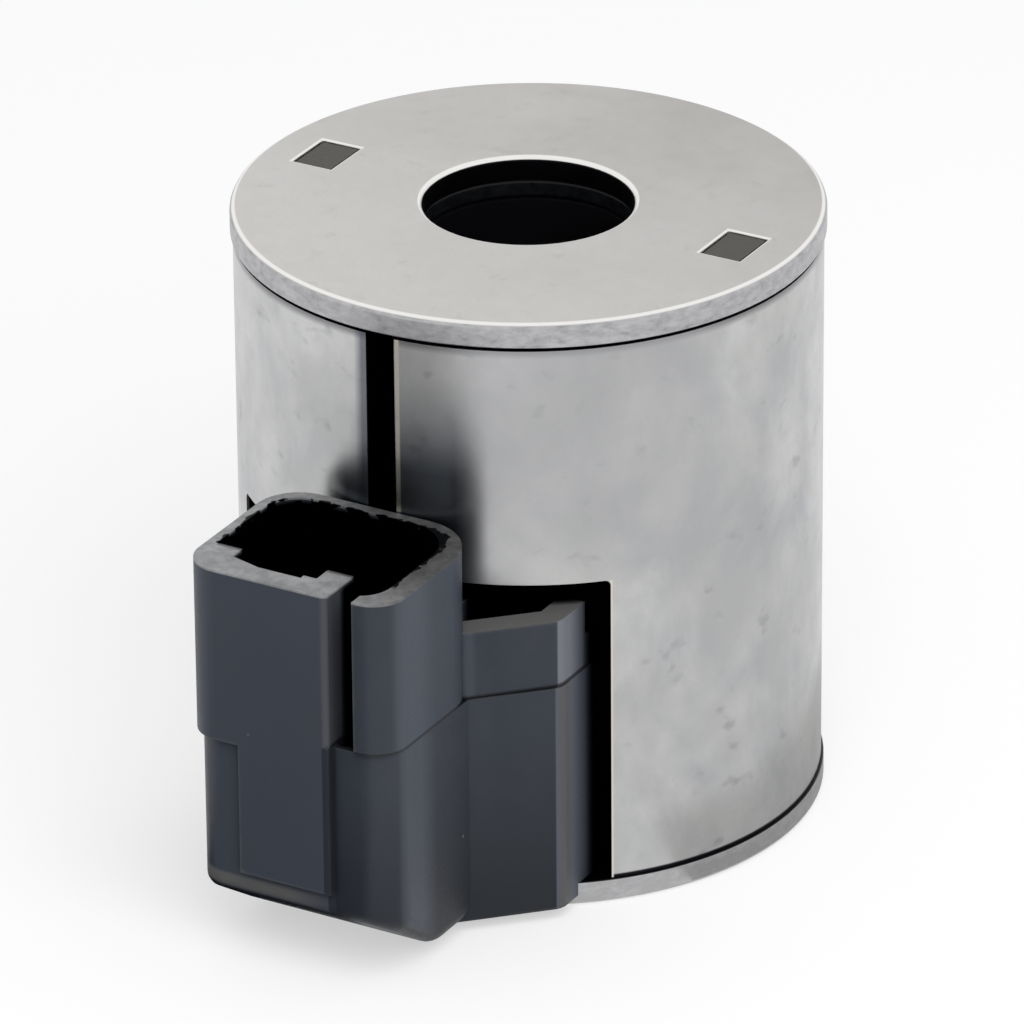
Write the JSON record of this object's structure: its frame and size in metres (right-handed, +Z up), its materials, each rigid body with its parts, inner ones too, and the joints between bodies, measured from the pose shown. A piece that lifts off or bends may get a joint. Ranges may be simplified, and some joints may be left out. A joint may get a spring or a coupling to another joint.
{
  "type": "solenoid valve coil",
  "caption": "Cylindrical solenoid valve coil: slotted steel tube between two round end plates, central stem bore, moulded side connector socket with contact pins.",
  "frame": {"origin": "on the stem bore's axis, at the lower end plate's outer face", "axes": "+Z up along the bore towards the plate that the socket's mouth faces, -Y towards the connector, +X to the right when the connector is looked at from the front"},
  "size_m": [0.045, 0.0596, 0.0484],
  "materials": {
    "plate_steel": "satin plated steel",
    "tube_steel": "satin plated steel, slightly mottled",
    "bobbin_plastic": "moulded, satin",
    "copper_wire": "enamelled wire",
    "insulation_tape": "polyester film tape",
    "terminal_metal": "tinned",
    "seal_rubber": "moulded rubber",
    "body_plastic": "moulded glass-filled plastic, satin"
  },
  "bodies": {
    "root": {"top_end_plate": "plate_steel", "bottom_end_plate": "plate_steel", "yoke_tube": "tube_steel", "bobbin": "bobbin_plastic", "winding": "copper_wire", "winding_tape": "insulation_tape", "start_lead": "copper_wire", "finish_lead": "copper_wire", "terminal_left": "terminal_metal", "terminal_right": "terminal_metal", "lower_bore_seal": "seal_rubber", "upper_bore_seal": "seal_rubber", "moulded_body": "body_plastic"}
  },
  "joints": []
}
